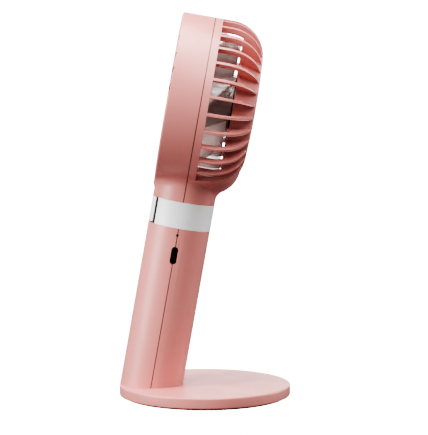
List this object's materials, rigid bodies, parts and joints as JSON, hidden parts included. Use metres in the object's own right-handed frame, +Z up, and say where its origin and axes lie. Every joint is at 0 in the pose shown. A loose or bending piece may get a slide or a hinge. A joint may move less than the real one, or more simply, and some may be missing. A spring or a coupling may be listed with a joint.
{
  "type": "handheld electric fan",
  "caption": "Handheld electric fan leaning back on a round stand: round head with a domed finned intake, straight round handle with a band, push button and charging port.",
  "frame": {"origin": "centre of the stand's underside, on the surface that it stands on", "axes": "+Z up, -Y out of the air outlet and the power button, +X towards the charging port; the fan's own axis leans back 10 degrees from +Z towards +Y"},
  "size_m": [0.0944, 0.0944, 0.2113],
  "materials": {
    "shell_pink": "satin moulded, salmon pink",
    "band_white": "satin moulded, cool white",
    "trim_black": "matt black",
    "smoke_clear": "clear smoky grey, polished",
    "pad_rubber": "matt black rubber",
    "zinc_steel": "zinc plated",
    "bearing_steel": "ground",
    "nickel": "nickel plated",
    "cast_aluminium": "turned",
    "laminated_steel": "stamped laminations",
    "copper_wire": "enamelled copper wire",
    "board_green": "solder mask",
    "chip_black": "moulded epoxy",
    "cell_wrap": "shrink sleeve",
    "inner_plastic": "natural moulded",
    "led_white": "moulded",
    "light_guide": "clear",
    "lead_red": "insulated wire",
    "badge_metal": "spun"
  },
  "bodies": {
    "base": {"base_disc": "shell_pink", "base_weight": "zinc_steel", "base_magnet": "nickel", "base_cover": "trim_black", "base_screws": "zinc_steel", "foot_pad": "pad_rubber"},
    "rotor": {"impeller": "smoke_clear", "rotor_can": "zinc_steel", "rotor_magnet": "laminated_steel", "motor_shaft": "bearing_steel", "shaft_clip": "zinc_steel"},
    "button": {"power_button": "band_white"},
    "plunger": {"switch_plunger": "chip_black"},
    "guard": {"front_guard": "shell_pink", "guard_cap": "badge_metal"},
    "fan": {"front_shell": "shell_pink", "rear_shell": "shell_pink", "end_cap": "shell_pink", "end_cap_screws": "zinc_steel", "catch_plate": "zinc_steel", "neck_band": "band_white", "button_bezel": "trim_black", "switch_body": "chip_black", "battery_cell": "cell_wrap", "battery_cradle": "inner_plastic", "main_board": "board_green", "board_screws": "zinc_steel", "board_chips": "chip_black", "usb_socket": "nickel", "usb_tongue": "chip_black", "charge_led": "led_white", "light_pipe": "light_guide", "shell_screws": "zinc_steel", "motor_mount": "cast_aluminium", "mount_screws": "zinc_steel", "motor_board": "board_green", "stator_core": "laminated_steel", "stator_coils": "copper_wire", "front_bearing": "bearing_steel", "rear_bearing": "bearing_steel", "motor_leads": "lead_red", "battery_leads": "lead_red"}
  },
  "joints": [
    {"name": "lift_off", "type": "slide", "parent": "base", "child": "fan", "axis": [0, 0.1736, 0.9848], "range_m": [0, 0.06]},
    {"name": "impeller_spin", "type": "hinge", "parent": "fan", "child": "rotor", "pos_m": [0, -0.00198, 0.16309], "axis": [0, -0.9848, 0.1736], "continuous": true},
    {"name": "button_press", "type": "slide", "parent": "fan", "child": "button", "axis": [0, 0.9848, -0.1736], "range_m": [0, 0.0004], "stiffness_N_per_m": 1500},
    {"name": "plunger_press", "type": "slide", "parent": "fan", "child": "plunger", "axis": [0, 0.9848, -0.1736], "range_m": [0, 0.0004]},
    {"name": "guard_twist", "type": "hinge", "parent": "fan", "child": "guard", "pos_m": [0, -0.00198, 0.16309], "axis": [0, -0.9848, 0.1736], "range_deg": [0, 18]}
  ],
  "couplings": [
    {"joint": "plunger_press", "follows": "button_press", "ratio": 1}
  ]
}
